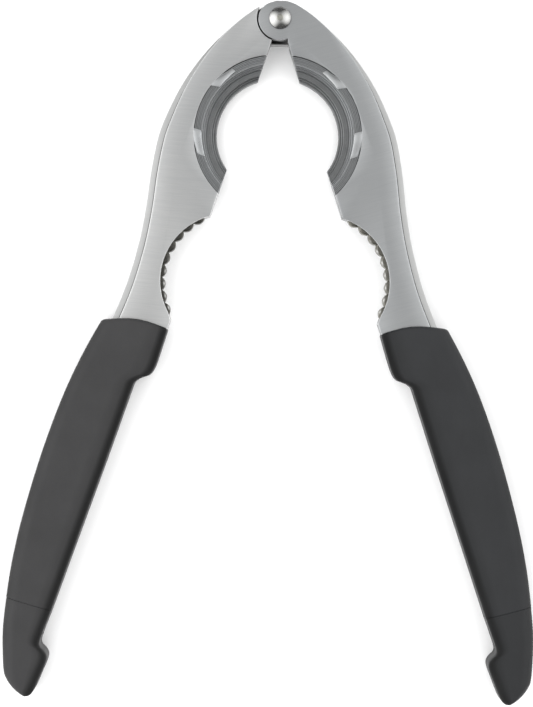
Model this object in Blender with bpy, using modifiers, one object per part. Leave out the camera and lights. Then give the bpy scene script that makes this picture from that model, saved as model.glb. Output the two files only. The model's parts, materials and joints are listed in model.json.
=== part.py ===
"""Nutcracker: two riveted arms with ring jaws, serrated jaws and hooked grips.

The tool lies flat on its back with its front face up.  +X runs across it, +Y
from the handles to the pivot and +Z out of the front face.  The origin is the
middle of the bottom of its box.  Each arm is drawn in its own flat frame: u
runs outward from the line where the closed arms meet, and v runs from the
pivot down to the tail.  Both arms use the same drawing, mirrored by side.
"""

import math

import bmesh
import bpy

MM = 0.001
RIGHT = 1
LEFT = -1

# Stance of the tool at rest
HALF_OPENING = math.radians(18.3)
PIVOT_Y = 88.55
MID_Z = 6.5

# Thicknesses, counted from the middle plane of the tool
ARM_HALF = 4.7
CORE_HALF = 2.85
GRIP_HALF = 6.5
TANG_HALF = 3.0
STRIP_HALF = 2.5
LAP_HALF = 0.55
GAP = 0.3
THROUGH = 12.0
# A small turn that keeps a round cutter's facets off the corners it cuts
TWIST = math.radians(3.1)

# Head and pivot
EYE_RADIUS = 5.8
FRONT_SHOULDER_RADIUS = EYE_RADIUS + GAP
REAR_PLATE_RADIUS = 7.5
REAR_SHOULDER_RADIUS = 7.9
SHANK_RADIUS = 2.0
PIVOT_BORE_RADIUS = SHANK_RADIUS + GAP
DOME_RADIUS = 3.0
DOME_HEIGHT = 1.2
HEAD_RIM_HEIGHT = 0.3
HEAD_SEAT_Z = ARM_HALF + 0.2
FORMED_HEAD_RADIUS = 3.2
FORMED_HEAD_THICKNESS = 0.9
FORMED_HEAD_CHAMFER = 0.35
WASHER_RADIUS = 4.2
LAP_WASHER_RADIUS = 4.8
WASHER_THICKNESS = 0.5
REAR_WASHER_TOP = -ARM_HALF - 0.2

# Jaws
FLAT_U = 0.15
JAW_U = -8.9
JAW_V = 30.0
JAW_BORE_RADIUS = 15.4
RECESS_RADIUS = 21.5
LEDGE_RADIUS = 18.0
LEDGE_Z = -3.2
RING_FACE_Z = 3.4
RING_STEP_RADII = (19.0, 18.25, 17.5, 16.75, 16.0)
RING_STEP_DROP = 1.1
RING_BACK_Z = -ARM_HALF + 0.1
RING_FLAT_U = 0.35
LUG_INNER_RADIUS = 19.5
LUG_LOW_Z = 3.7
LUG_HIGH_Z = 4.55
LUG_ANGLES = ((-40.0, -21.0), (15.5, 34.0))
LUG_EMBED = 1.5

# Serrated jaws
CRACKER_U = -9.9
CRACKER_V = 70.7
CRACKER_EDGE_RADIUS = 17.85
SLOT_DEPTH = 2.8
SLOT_REACH = 4.0
SLOT_START = -52.5
SLOT_END = 50.8
STRIP_END_ANGLE = 1.0
TOOTH_U = -11.6
TOOTH_TIP_RADIUS = 18.1
TOOTH_DEPTH = 0.8
TOOTH_COUNT = 9
TOOTH_PITCH = 10.3
TOOTH_FIRST = -42.0

# Handles
BAND_WIDTH = 1.75
BAND_LENGTH = 40.0
BAND_START_V = 8.0
BAND_OVERLAP = 3.0
COLLAR_CLEARANCE = 0.35
SEAM_V = 170.0
TANG_END_V = 155.0
SCREW_U = 12.0
SCREW_RADIUS = 1.5
SCREW_HEAD_RADIUS = 3.0
SCREW_HEAD_THICKNESS = 2.2
SCREW_HEAD_CHAMFER = 0.5
SCREW_POINT_LENGTH = 1.2
SEAT_CLEARANCE = 0.4
SEAT_TOP = 6.0
SEAT_BOTTOM = -13.0
THREAD_TOP = 4.0
SPIGOT_RADIUS = 3.1
SPIGOT_LOW = -1.0
SPIGOT_HIGH = 2.0
SCREW_LENGTH = 20.5
SCREW_SEAT_V = 166.2
SCREW_TIP_CLEARANCE = 1.5
GRIP_EDGE = 1.0

# Outer edge of an arm from the crown of the head to the handle
ARM_BACK = (
    (0.5, -4.95), (4.0, -3.5), (7.0, -0.5), (10.2, 4.0), (13.6, 10.0),
    (16.7, 17.5), (19.0, 26.0), (20.1, 35.0), (20.15, 41.0), (18.9, 50.0),
    (17.1, 59.0), (15.8, 68.0), (15.2, 77.0), (15.25, 84.0), (15.7, 89.8),
)
# Upper rim of a grip from its inner to its outer corner
COLLAR = ((0.75, 88.3), (4.8, 88.2), (10.0, 89.1), (15.0, 90.7), (18.1, 92.2))
# Outer edge of a grip from the collar to the seam
GRIP_BACK = (
    (18.1, 92.2), (19.75, 101.0), (21.0, 111.0), (21.55, 123.0),
    (21.4, 136.0), (20.6, 150.0), (19.3, 161.0), (17.65, SEAM_V),
)
# Inner edge of a grip from the seam up to the finger guard
GRIP_FRONT = ((5.15, SEAM_V), (5.0, 158.0), (4.6, 126.0), (4.5, 107.5))
GUARD = (
    (4.5, 107.5), (4.35, 104.6), (3.1, 103.0), (1.3, 101.6), (0.6, 99.0),
    (0.6, 94.0), (0.75, 88.3),
)
# Hooked tail, from the outer end of the seam round to its inner end
TAIL = (
    (17.55, SEAM_V + GAP), (15.9, 177.5), (13.7, 184.0), (11.75, 188.75),
    (8.7, 191.85), (6.4, 192.8), (4.4, 193.15), (3.05, 192.5), (2.4, 190.6),
    (2.15, 187.0), (1.95, 182.1),
    (2.95, 180.3), (4.75, 179.3), (5.35, 177.4), (5.15, SEAM_V + GAP),
)
# Foot of the left arm's rear plate, buried in the body of the arm
REAR_PLATE_FOOT = ((-4.3, -3.6), (-2.0, -4.0), (2.0, 2.0), (1.6, 8.2))
TANG = (
    (3.6, 82.0), (3.6, 98.0), (8.6, 110.0), (9.0, TANG_END_V),
    (15.0, TANG_END_V), (16.6, 120.0), (13.6, 94.0), (13.2, 82.0),
)

# The pocket in a grip, one gap larger than the tang on every side it has
POCKET = (
    (3.3, 82.0), (3.3, 98.0), (8.3, 110.0), (8.7, TANG_END_V + GAP),
    (15.3, TANG_END_V + GAP), (16.9, 120.0), (13.9, 94.0), (13.5, 82.0),
)

SATIN_METAL = ((0.60, 0.60, 0.58), 1.0, 0.34)
RING_METAL = ((0.24, 0.24, 0.23), 1.0, 0.42)
BARE_CASTING = ((0.20, 0.19, 0.17), 1.0, 0.5)
POLISHED_METAL = ((0.82, 0.82, 0.80), 1.0, 0.16)
ZINC_PLATE = ((0.55, 0.56, 0.58), 1.0, 0.4)
SOFT_PLASTIC = ((0.072, 0.072, 0.070), 0.0, 0.62)
TAIL_PLASTIC = ((0.062, 0.062, 0.061), 0.0, 0.58)


def clear_scene():
    """Remove every object and the collections left from an earlier run."""
    for item in list(bpy.data.objects):
        bpy.data.objects.remove(item, do_unlink=True)
    for group in list(bpy.data.collections):
        bpy.data.collections.remove(group)


def new_collection(name):
    """Return a new collection linked to the scene."""
    group = bpy.data.collections.new(name)
    bpy.context.scene.collection.children.link(group)
    return group


def smooth(points, per_span=3):
    """Return points along a smooth curve through the given ones."""
    path = []
    last = len(points) - 1
    for index in range(last):
        before = points[max(index - 1, 0)]
        start = points[index]
        end = points[index + 1]
        after = points[min(index + 2, last)]
        for step in range(per_span):
            t = step / per_span
            path.append(tuple(
                0.5 * (2 * b + (c - a) * t + (2 * a - 5 * b + 4 * c - d) * t ** 2
                       + (3 * b - a - 3 * c + d) * t ** 3)
                for a, b, c, d in zip(before, start, end, after)))
    path.append(points[last])
    return path


def arc(centre, radius, start, end, steps):
    """Return points on an arc; angles are degrees from +u towards +v."""
    path = []
    for step in range(steps + 1):
        angle = math.radians(start + (end - start) * step / steps)
        path.append((centre[0] + radius * math.cos(angle),
                     centre[1] + radius * math.sin(angle)))
    return path


def band_at(v):
    """Return how far the face stands back from the arm's outer edge."""
    t = min(max(v / BAND_LENGTH, 0.0), 1.0)
    return BAND_WIDTH * t * t * (3.0 - 2.0 * t)


def link(item, group, parent):
    """Link an object to a collection and hang it on its arm's empty."""
    group.objects.link(item)
    item.parent = parent


def flat_solid(name, points, low_z, high_z, side, group, parent):
    """Extrude a closed outline between two heights and return a mesh object."""
    curve = bpy.data.curves.new(name, "CURVE")
    curve.dimensions = "2D"
    curve.fill_mode = "BOTH"
    curve.extrude = (high_z - low_z) / 2 * MM
    spline = curve.splines.new("POLY")
    spline.points.add(len(points) - 1)
    for knot, (u, v) in zip(spline.points, points):
        knot.co = (side * u * MM, -v * MM, 0.0, 1.0)
    spline.use_cyclic_u = True
    guide = bpy.data.objects.new(name + "_outline", curve)
    guide.location.z = (MID_Z + (low_z + high_z) / 2) * MM
    link(guide, group, parent)
    bpy.context.view_layer.update()
    evaluated = guide.evaluated_get(bpy.context.evaluated_depsgraph_get())
    mesh = bpy.data.meshes.new_from_object(evaluated)
    bm = bmesh.new()
    bm.from_mesh(mesh)
    bmesh.ops.remove_doubles(bm, verts=bm.verts, dist=0.000001)
    bmesh.ops.dissolve_limit(bm, angle_limit=math.radians(0.2), verts=bm.verts, edges=bm.edges)
    bmesh.ops.recalc_face_normals(bm, faces=bm.faces)
    bm.to_mesh(mesh)
    bm.free()
    mesh.name = name
    solid = bpy.data.objects.new(name, mesh)
    link(solid, group, parent)
    solid.matrix_world = guide.matrix_world.copy()
    bpy.data.objects.remove(guide, do_unlink=True)
    return solid


def turned_solid(name, profile, steps, place, group, parent):
    """Turn a profile of (radius, height) points round its own Z axis."""
    mesh = bpy.data.meshes.new(name)
    bm = bmesh.new()
    knots = [bm.verts.new((r * MM, 0.0, z * MM)) for r, z in profile]
    for first, second in zip(knots, knots[1:]):
        bm.edges.new((first, second))
    if profile[0][0] > 0.0:
        bm.edges.new((knots[-1], knots[0]))
    bm.to_mesh(mesh)
    bm.free()
    solid = bpy.data.objects.new(name, mesh)
    link(solid, group, parent)
    solid.location = (place[0] * MM, place[1] * MM, place[2] * MM)
    turn = solid.modifiers.new("Turn", "SCREW")
    turn.axis = "Z"
    turn.steps = steps
    turn.render_steps = steps
    turn.use_merge_vertices = True
    turn.merge_threshold = 0.000001
    turn.use_smooth_shade = True
    return solid


def cylinder(name, radius, low, high, steps, place, group, parent):
    """Return a plain round solid on its own Z axis."""
    profile = ((0.0, high), (radius, high), (radius, low), (0.0, low))
    return turned_solid(name, profile, steps, place, group, parent)


def combine(target, tool, operation):
    """Add a Boolean modifier to the target and hide the tool."""
    tool.hide_render = True
    tool.display_type = "WIRE"
    change = target.modifiers.new(tool.name, "BOOLEAN")
    change.operation = operation
    change.solver = "EXACT"
    change.object = tool


def round_edges(target, width):
    """Round the sharp edges of a moulded piece."""
    bevel = target.modifiers.new("Rounded edges", "BEVEL")
    bevel.width = width * MM
    bevel.segments = 2
    bevel.limit_method = "ANGLE"
    bevel.angle_limit = math.radians(50.0)


def paint(item, finish):
    """Give a piece its own material."""
    colour, metallic, roughness = finish
    material = bpy.data.materials.new(item.name)
    material.use_nodes = True
    shader = material.node_tree.nodes["Principled BSDF"]
    shader.inputs["Base Color"].default_value = (*colour, 1.0)
    shader.inputs["Metallic"].default_value = metallic
    shader.inputs["Roughness"].default_value = roughness
    item.data.materials.clear()
    item.data.materials.append(material)


def arm_outline():
    """Return the outline of an arm's full-thickness body with its eye."""
    back = [(u - band_at(v), v) for u, v in smooth(ARM_BACK)]
    crown = smooth(((-5.7, -1.1), (-4.6, -3.3), (-2.4, -4.6), back[0]))
    eye = arc((0.0, 0.0), EYE_RADIUS, 90.0, 180.0, 10)
    collar = [(u, v - COLLAR_CLEARANCE) for u, v in smooth(COLLAR) if 1.4 < u < 13.6]
    reach = math.degrees(math.acos((FLAT_U - CRACKER_U) / CRACKER_EDGE_RADIUS))
    cracker = arc((CRACKER_U, CRACKER_V), CRACKER_EDGE_RADIUS, 47.0, -reach, 20)
    return eye + crown[:-1] + back + collar[::-1] + [(0.9, 87.9), (0.9, 85.6)] + cracker


def make_arm(side, pieces, cutters, parent):
    """Build one arm: face, edge band, eye, ring recess, lugs, slot and tang."""
    prefix = "right_" if side == RIGHT else "left_"
    arm = flat_solid(prefix + "arm", arm_outline(), -ARM_HALF, ARM_HALF, side, pieces, parent)

    back = [point for point in smooth(ARM_BACK) if point[1] > BAND_START_V]
    inside = [(u - band_at(v) - BAND_OVERLAP, v) for u, v in back[:-2]]
    end = [(u, v - COLLAR_CLEARANCE) for u, v in smooth(COLLAR) if 11.6 < u < 15.5]
    core = flat_solid(prefix + "band", back + end[::-1] + inside[::-1], -CORE_HALF, CORE_HALF,
                      side, cutters, parent)
    combine(arm, core, "UNION")

    tang = flat_solid(prefix + "tang", TANG, -TANG_HALF, TANG_HALF, side, cutters, parent)
    combine(arm, tang, "UNION")

    recess = turned_solid(
        prefix + "recess",
        ((0.0, THROUGH), (RECESS_RADIUS, THROUGH), (RECESS_RADIUS, LEDGE_Z),
         (LEDGE_RADIUS, LEDGE_Z), (LEDGE_RADIUS, -THROUGH), (0.0, -THROUGH)),
        72, (side * JAW_U, -JAW_V, MID_Z), cutters, parent)
    combine(arm, recess, "DIFFERENCE")

    centre = (JAW_U, JAW_V)
    for number, (start, end) in enumerate(LUG_ANGLES):
        outline = arc(centre, LUG_INNER_RADIUS, start, end, 6)
        outline += arc(centre, RECESS_RADIUS + LUG_EMBED, end, start, 6)
        lug = flat_solid(f"{prefix}lug_{number}", outline, LUG_LOW_Z, LUG_HIGH_Z,
                         side, cutters, parent)
        combine(arm, lug, "UNION")

    centre = (CRACKER_U, CRACKER_V)
    outline = arc(centre, CRACKER_EDGE_RADIUS - SLOT_REACH, SLOT_START, SLOT_END, 16)
    outline += arc(centre, CRACKER_EDGE_RADIUS + SLOT_DEPTH, SLOT_END, SLOT_START, 16)
    slot = flat_solid(prefix + "slot", outline, -STRIP_HALF - GAP, STRIP_HALF + GAP,
                      side, cutters, parent)
    combine(arm, slot, "DIFFERENCE")

    if side == LEFT:
        outline = arc((0.0, 0.0), REAR_PLATE_RADIUS, 134.5, 212.0, 12)
        outline += REAR_PLATE_FOOT
        plate = flat_solid(prefix + "rear_plate", outline, -ARM_HALF, -LAP_HALF,
                           side, cutters, parent)
        combine(arm, plate, "UNION")
        lap = cylinder(prefix + "lap", FRONT_SHOULDER_RADIUS, -LAP_HALF, THROUGH, 48,
                       (0.0, 0.0, MID_Z), cutters, parent)
    else:
        lap = cylinder(prefix + "lap", REAR_SHOULDER_RADIUS, -THROUGH, LAP_HALF, 48,
                       (0.0, 0.0, MID_Z), cutters, parent)
    lap.rotation_euler.z = TWIST
    combine(arm, lap, "DIFFERENCE")

    bore = cylinder(prefix + "bore", PIVOT_BORE_RADIUS, -THROUGH, THROUGH, 24,
                    (0.0, 0.0, MID_Z), cutters, parent)
    bore.rotation_euler.z = TWIST
    combine(arm, bore, "DIFFERENCE")

    depth = SCREW_LENGTH - (SCREW_SEAT_V + GAP - TANG_END_V) + SCREW_TIP_CLEARANCE
    thread = cylinder(prefix + "thread", SCREW_RADIUS + GAP, -depth, THREAD_TOP, 16,
                      (side * SCREW_U, -TANG_END_V, MID_Z), cutters, parent)
    thread.rotation_euler = (math.radians(90.0), TWIST, 0.0)
    combine(arm, thread, "DIFFERENCE")
    paint(arm, SATIN_METAL)


def make_ring_jaw(side, pieces, cutters, parent):
    """Build the stepped half-ring that lies in an arm's recess."""
    prefix = "right_" if side == RIGHT else "left_"
    rim = RECESS_RADIUS - GAP
    neck = LEDGE_RADIUS - GAP
    profile = [(rim, RING_FACE_Z), (rim, LEDGE_Z + GAP), (neck, LEDGE_Z + GAP),
               (neck, RING_BACK_Z), (JAW_BORE_RADIUS, RING_BACK_Z)]
    height = RING_FACE_Z - RING_STEP_DROP * len(RING_STEP_RADII)
    profile.append((JAW_BORE_RADIUS, height))
    for radius in reversed(RING_STEP_RADII):
        profile.append((radius, height))
        height += RING_STEP_DROP
        profile.append((radius, height))
    ring = turned_solid(prefix + "ring_jaw", profile, 72,
                        (side * JAW_U, -JAW_V, MID_Z), pieces, parent)
    half = ((RING_FLAT_U, 5.0), (30.0, 5.0), (30.0, 55.0), (RING_FLAT_U, 55.0))
    keep = flat_solid(prefix + "ring_half", half, -THROUGH, THROUGH, side, cutters, parent)
    combine(ring, keep, "INTERSECT")
    paint(ring, RING_METAL)


def make_serrated_jaw(side, pieces, parent):
    """Build the toothed strip that stands in the slot of an arm's inner edge."""
    prefix = "right_" if side == RIGHT else "left_"
    outline = arc((CRACKER_U, CRACKER_V), CRACKER_EDGE_RADIUS + SLOT_DEPTH - GAP,
                  SLOT_END - STRIP_END_ANGLE, SLOT_START + STRIP_END_ANGLE, 16)
    points_per_tooth = 6
    total = TOOTH_COUNT * points_per_tooth
    for step in range(total + 1):
        phase = step / points_per_tooth
        lift = math.sin(math.pi * (phase % 1.0)) ** 0.8
        radius = TOOTH_TIP_RADIUS + TOOTH_DEPTH * (1.0 - lift)
        angle = math.radians(TOOTH_FIRST + TOOTH_PITCH * (phase - 0.5))
        outline.append((TOOTH_U + radius * math.cos(angle),
                        CRACKER_V + radius * math.sin(angle)))
    strip = flat_solid(prefix + "serrated_jaw", outline, -STRIP_HALF, STRIP_HALF,
                       side, pieces, parent)
    paint(strip, BARE_CASTING)


def make_grip(side, pieces, cutters, parent):
    """Build one grip with its tang pocket and the seat of the cap screw."""
    prefix = "right_" if side == RIGHT else "left_"
    outline = smooth(COLLAR)[:-1] + smooth(GRIP_BACK) + smooth(GRIP_FRONT)[:-1]
    outline += smooth(GUARD)[:-1]
    grip = flat_solid(prefix + "grip", outline, -GRIP_HALF, GRIP_HALF, side, pieces, parent)
    round_edges(grip, GRIP_EDGE)

    pocket = flat_solid(prefix + "pocket", POCKET, -TANG_HALF - GAP, TANG_HALF + GAP,
                        side, cutters, parent)
    combine(grip, pocket, "DIFFERENCE")

    wide = SCREW_HEAD_RADIUS + SEAT_CLEARANCE
    narrow = SCREW_RADIUS + GAP
    seat = turned_solid(
        prefix + "screw_seat",
        ((0.0, SEAT_TOP), (wide, SEAT_TOP), (wide, 0.0), (narrow, 0.0),
         (narrow, SEAT_BOTTOM), (0.0, SEAT_BOTTOM)),
        16, (side * SCREW_U, -SCREW_SEAT_V, MID_Z), cutters, parent)
    seat.rotation_euler = (math.radians(90.0), TWIST, 0.0)
    combine(grip, seat, "DIFFERENCE")
    paint(grip, SOFT_PLASTIC)


def make_end_cap(side, pieces, cutters, parent):
    """Build the hooked tail piece with the spigot that plugs the screw seat."""
    prefix = "right_" if side == RIGHT else "left_"
    cap = flat_solid(prefix + "end_cap", smooth(TAIL), -GRIP_HALF, GRIP_HALF,
                     side, pieces, parent)
    round_edges(cap, GRIP_EDGE)
    spigot = cylinder(prefix + "spigot", SPIGOT_RADIUS, SPIGOT_LOW, SPIGOT_HIGH, 16,
                      (side * SCREW_U, -SEAM_V, MID_Z), cutters, parent)
    spigot.rotation_euler.x = math.radians(90.0)
    combine(cap, spigot, "UNION")
    paint(cap, TAIL_PLASTIC)


def make_cap_screw(side, pieces, parent):
    """Build the screw that draws a grip onto its tang."""
    prefix = "right_" if side == RIGHT else "left_"
    top = SCREW_HEAD_THICKNESS
    profile = ((0.0, top), (SCREW_HEAD_RADIUS - SCREW_HEAD_CHAMFER, top),
               (SCREW_HEAD_RADIUS, top - SCREW_HEAD_CHAMFER),
               (SCREW_HEAD_RADIUS, 0.0), (SCREW_RADIUS, 0.0),
               (SCREW_RADIUS, SCREW_POINT_LENGTH - SCREW_LENGTH), (0.0, -SCREW_LENGTH))
    screw = turned_solid(prefix + "cap_screw", profile, 16,
                         (side * SCREW_U, -SCREW_SEAT_V - GAP, MID_Z), pieces, parent)
    screw.rotation_euler.x = math.radians(90.0)
    paint(screw, ZINC_PLATE)


def make_rivet(pieces, parent):
    """Build the pivot rivet, its rear washer and the washer between the eyes."""
    rim = HEAD_SEAT_Z + HEAD_RIM_HEIGHT
    bottom = -MID_Z
    profile = [(0.0, rim + DOME_HEIGHT)]
    for step in range(1, 7):
        angle = math.radians(15.0 * step)
        profile.append((DOME_RADIUS * math.sin(angle), rim + DOME_HEIGHT * math.cos(angle)))
    formed_top = bottom + FORMED_HEAD_THICKNESS
    profile += [(DOME_RADIUS, HEAD_SEAT_Z), (SHANK_RADIUS, HEAD_SEAT_Z),
                (SHANK_RADIUS, formed_top), (FORMED_HEAD_RADIUS, formed_top),
                (FORMED_HEAD_RADIUS, bottom + FORMED_HEAD_CHAMFER),
                (FORMED_HEAD_RADIUS - FORMED_HEAD_CHAMFER, bottom), (0.0, bottom)]
    centre = (0.0, 0.0, MID_Z)
    rivet = turned_solid("pivot_rivet", profile, 32, centre, pieces, parent)
    paint(rivet, POLISHED_METAL)

    washers = (("rear_washer", WASHER_RADIUS, REAR_WASHER_TOP),
               ("lap_washer", LAP_WASHER_RADIUS, WASHER_THICKNESS / 2))
    for name, radius, high in washers:
        low = high - WASHER_THICKNESS
        profile = ((radius, high), (radius, low), (PIVOT_BORE_RADIUS, low),
                   (PIVOT_BORE_RADIUS, high))
        washer = turned_solid(name, profile, 32, centre, pieces, parent)
        paint(washer, ZINC_PLATE)


def main():
    """Build the whole nutcracker."""
    clear_scene()
    pieces = new_collection("nutcracker")
    cutters = new_collection("cutters")
    for side, name in ((LEFT, "left_arm_pivot"), (RIGHT, "right_arm_pivot")):
        pivot = bpy.data.objects.new(name, None)
        pieces.objects.link(pivot)
        pivot.location = (0.0, PIVOT_Y * MM, 0.0)
        pivot.rotation_euler.z = side * HALF_OPENING
        bpy.context.view_layer.update()
        make_arm(side, pieces, cutters, pivot)
        make_ring_jaw(side, pieces, cutters, pivot)
        make_serrated_jaw(side, pieces, pivot)
        make_grip(side, pieces, cutters, pivot)
        make_end_cap(side, pieces, cutters, pivot)
        make_cap_screw(side, pieces, pivot)
        if side == LEFT:
            make_rivet(pieces, pivot)


main()
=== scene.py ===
import json
import math

import bmesh
import bpy
from bpy.props import FloatProperty, FloatVectorProperty, IntProperty, PointerProperty
from mathutils import Matrix, Vector


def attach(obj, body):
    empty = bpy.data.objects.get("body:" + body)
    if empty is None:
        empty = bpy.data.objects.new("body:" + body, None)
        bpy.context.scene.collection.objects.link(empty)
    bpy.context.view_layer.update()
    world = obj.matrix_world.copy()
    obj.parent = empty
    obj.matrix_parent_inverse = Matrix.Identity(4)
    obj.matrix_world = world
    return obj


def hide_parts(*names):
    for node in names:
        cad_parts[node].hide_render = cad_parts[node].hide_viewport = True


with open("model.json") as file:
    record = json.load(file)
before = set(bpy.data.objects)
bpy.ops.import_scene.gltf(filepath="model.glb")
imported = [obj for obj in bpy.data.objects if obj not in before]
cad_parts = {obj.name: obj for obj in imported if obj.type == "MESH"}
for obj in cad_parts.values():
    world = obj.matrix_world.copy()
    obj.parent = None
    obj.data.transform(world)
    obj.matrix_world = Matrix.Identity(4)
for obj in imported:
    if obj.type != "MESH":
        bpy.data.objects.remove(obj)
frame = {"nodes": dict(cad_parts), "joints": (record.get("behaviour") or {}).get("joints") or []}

bl_info = {
    "name": "Nutcracker Finish",
    "version": (1, 0, 0),
    "blender": (4, 5, 0),
    "location": "3D Viewport > Sidebar > Nutcracker",
    "description": "Models the finished metal, rivet and grips of a hand nutcracker",
    "category": "Object",
}

# The tool lies on its back: +X across, +Y towards the pivot, +Z out of the front.
# Each arm is drawn in its own flat frame in millimetres: u runs outward from the
# line where the closed arms meet, v runs from the pivot down to the tail.
MM = 0.001
RIGHT = 1
LEFT = -1
SIDE_NAME = {LEFT: "left", RIGHT: "right"}
PIVOT = Vector(frame["joints"][0]["pos_m"])
HALF_OPENING = math.radians(18.3)
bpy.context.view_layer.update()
# A face with this many corners or more is a flat end or side, and is shaded flat
FLAT_CORNERS = 8

# Half thickness of an arm, of its edge band, of a grip and of the gap between the heads
ARM_HALF = 4.7
CORE_HALF = 2.85
GRIP_HALF = 6.5
LAP_HALF = 0.55

# Radius of each arm's eye, and of the shoulder that the other arm's eye turns in
FRONT_EYE = 5.8
REAR_EYE = 7.0
FRONT_SHOULDER = 6.2
REAR_SHOULDER = 7.9
# How far an arm's flats stop short of the line where the closed arms meet
FLAT_U = 0.15
# Distances of the crowned face's rows from its outer edge
FACE_ROWS = (4.6, 3.4, 2.3, 1.3, 0.6, 0.0)
# Material slots of an arm; the crevice slot is darker metal, painted shade in creases, in the
# groove and under the eye
# The rim slot is lighter metal than the face, a painted highlight along the rounded rims
SATIN, RIM, SHADED_CREVICE, BAND, WALL = range(5)

# A ring jaw's centre, its bore, its recess in the arm and the darker stretch beside it
JAW = (-8.9, 30.0)
JAW_BORE = 15.4
RECESS = 21.5
JAW_FADE = 14.0
# Share of a ring's funnel that its one wide tread takes
WIDE_TREAD = 0.44
# Each lug: angles of its flush end (rim side, bore side) and of its sunk end
LUG_ANGLES = (((-18.9, -22.2), (-37.6, -40.6)), ((14.2, 15.4), (31.6, 35.6)))
# Radius of the bore side of each lug at its flush end and at its sunk end
LUG_BORES = ((19.42, 19.95), (19.45, 19.25))
# Width of a lug from its rim side to where its bore side's angles are taken
LUG_REACH = RECESS - 19.5

# The serrated jaw: the face's smooth edge, and the teeth that stand behind it
CRACKER = (-9.9, 70.7)
CRACKER_EDGE = 17.85
TOOTH_CENTRE = (-11.6, 70.7)
TOOTH_TIP = 18.1
TOOTH_COUNT = 9
TOOTH_PITCH = 10.3
TOOTH_FIRST = -42.0

# The rivet's head, its dimple and where the dome's foot starts, which is painted darker as shade
RIVET_RADIUS = 3.0
RIVET_DIMPLE = 0.95
RIVET_FOOT = 2.84

SEAM_V = 170.0
# Inner and outer end of the seam, which runs a little slanted
SEAM_ENDS = (SEAM_V - 0.8, SEAM_V - 0.2)
COLLAR_INNER = (0.75, 88.3)
COLLAR_OUTER = (18.1, 92.2)

# Outer edge of an arm from the crown of the head to inside the grip
ARM_BACK = (
    (0.5, -4.95), (4.0, -3.5), (7.0, -0.5), (10.2, 4.0), (13.6, 10.0),
    (16.7, 17.5), (19.0, 26.0), (20.1, 35.0), (20.15, 41.0), (18.9, 50.0),
    (17.1, 59.0), (15.8, 68.0), (15.2, 77.0), (15.25, 84.0), (15.9, 93.0),
)
# Outer and inner edges of a grip from the collar to the seam
GRIP_BACK = (
    COLLAR_OUTER, (19.75, 101.0), (21.0, 111.0), (21.55, 123.0),
    (21.4, 136.0), (20.6, 150.0), (19.3, 161.0), (17.65, SEAM_V),
)
GRIP_FRONT = (
    COLLAR_INNER, (0.6, 94.0), (0.6, 99.0), (1.3, 101.6), (3.1, 103.0),
    (4.35, 104.6), (4.5, 107.5), (4.6, 126.0), (5.0, 158.0), (5.15, SEAM_V),
)
# Outer and inner edges of the hooked tail from the seam to its tip
TAIL_BACK = (
    (17.6, SEAM_V), (15.9, 177.5), (13.7, 184.0), (11.75, 188.7),
    (10.5, 190.3), (9.3, 191.3), (7.9, 192.15), (6.2, 192.85), (4.4, 193.15),
)
TAIL_FRONT = (
    (5.15, SEAM_V), (5.35, 177.4), (4.75, 179.3), (2.95, 180.3), (1.95, 182.1),
    (2.15, 187.0), (2.35, 190.0), (2.6, 191.5), (3.0, 192.35), (3.6, 192.95),
    (4.4, 193.15),
)

# What differs from side to side; the colour factors come with a warmth where they have one. The
# arm, tooth, grip and cap colour factors paint light and shade: the two sides are lit unlike each
# other, so the same metal or plastic is painted lighter on one side and darker on the other, the
# right cap darker still
ARM_LIT_TONE = {LEFT: (1.03, 0.003), RIGHT: (0.745, -0.014)}
BRUSH_TURN = {LEFT: -4.0, RIGHT: 17.0}
JAW_SHADE = {LEFT: 0.5, RIGHT: 0.12}
CROWN_SHARE = {LEFT: 0.8, RIGHT: 1.25}
TOOTH_LIT_TONE = {LEFT: 0.5, RIGHT: 1.25}
# From which tooth on the crests get a painted glint
FIRST_GLINTING_TOOTH = {LEFT: 4.0, RIGHT: 1.5}
GRIP_LIT_TONE = {LEFT: (1.15, 0.0), RIGHT: (0.73, -0.06)}
CAP_LIT_TONE = {LEFT: 0.98, RIGHT: 0.87}
# How far a grip's rim is moved down the arm, at its inner and its outer end
RIM_SHIFT = {LEFT: (-0.45, -0.9), RIGHT: (0.0, 0.0)}


# ---------------------------------------------------------------- settings

class NUTCRACKER_PG_metal(bpy.types.PropertyGroup):
    """Sizes and colours of the metal pieces."""

    edge: FloatProperty(name="Edge rounding", description="Radius of the arms' rims",
                        default=0.11 * MM, unit="LENGTH")
    crown: FloatProperty(name="Face crown", description="Fall of the face towards its outer edge",
                         default=0.4 * MM, unit="LENGTH")
    band: FloatProperty(name="Edge band", description="Width of the band along the outer edge",
                        default=1.75 * MM, unit="LENGTH")
    tooth_depth: FloatProperty(name="Tooth depth", description="Height of the cracking teeth",
                               default=0.95 * MM, unit="LENGTH")
    ribs: IntProperty(name="Ring ribs", description="Steps turned in each ring jaw", default=5)
    arm_colour: FloatVectorProperty(name="Arm colour", description="Satin metal of the arms",
                                    subtype="COLOR", default=(0.77, 0.78, 0.78))
    ring_colour: FloatVectorProperty(name="Ring colour", description="Turned metal of the rings",
                                     subtype="COLOR", default=(0.40, 0.408, 0.412))
    tooth_colour: FloatVectorProperty(name="Tooth colour", description="Bare casting of the teeth",
                                      subtype="COLOR", default=(0.16, 0.155, 0.135))


class NUTCRACKER_PG_grips(bpy.types.PropertyGroup):
    """Sizes and colours of the plastic grips."""

    inner_edge: FloatProperty(name="Inner rounding", description="Rounding of a grip's inner side",
                              default=2.5 * MM, unit="LENGTH")
    outer_edge: FloatProperty(name="Outer rounding", description="Soft slope of its outer side",
                              default=3.6 * MM, unit="LENGTH")
    seam: FloatProperty(name="Seam gap", description="Gap between a grip and its end cap",
                        default=0.04 * MM, unit="LENGTH")
    colour: FloatVectorProperty(name="Grip colour", description="Soft plastic of the grips",
                                subtype="COLOR", default=(0.026, 0.026, 0.027))


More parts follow.
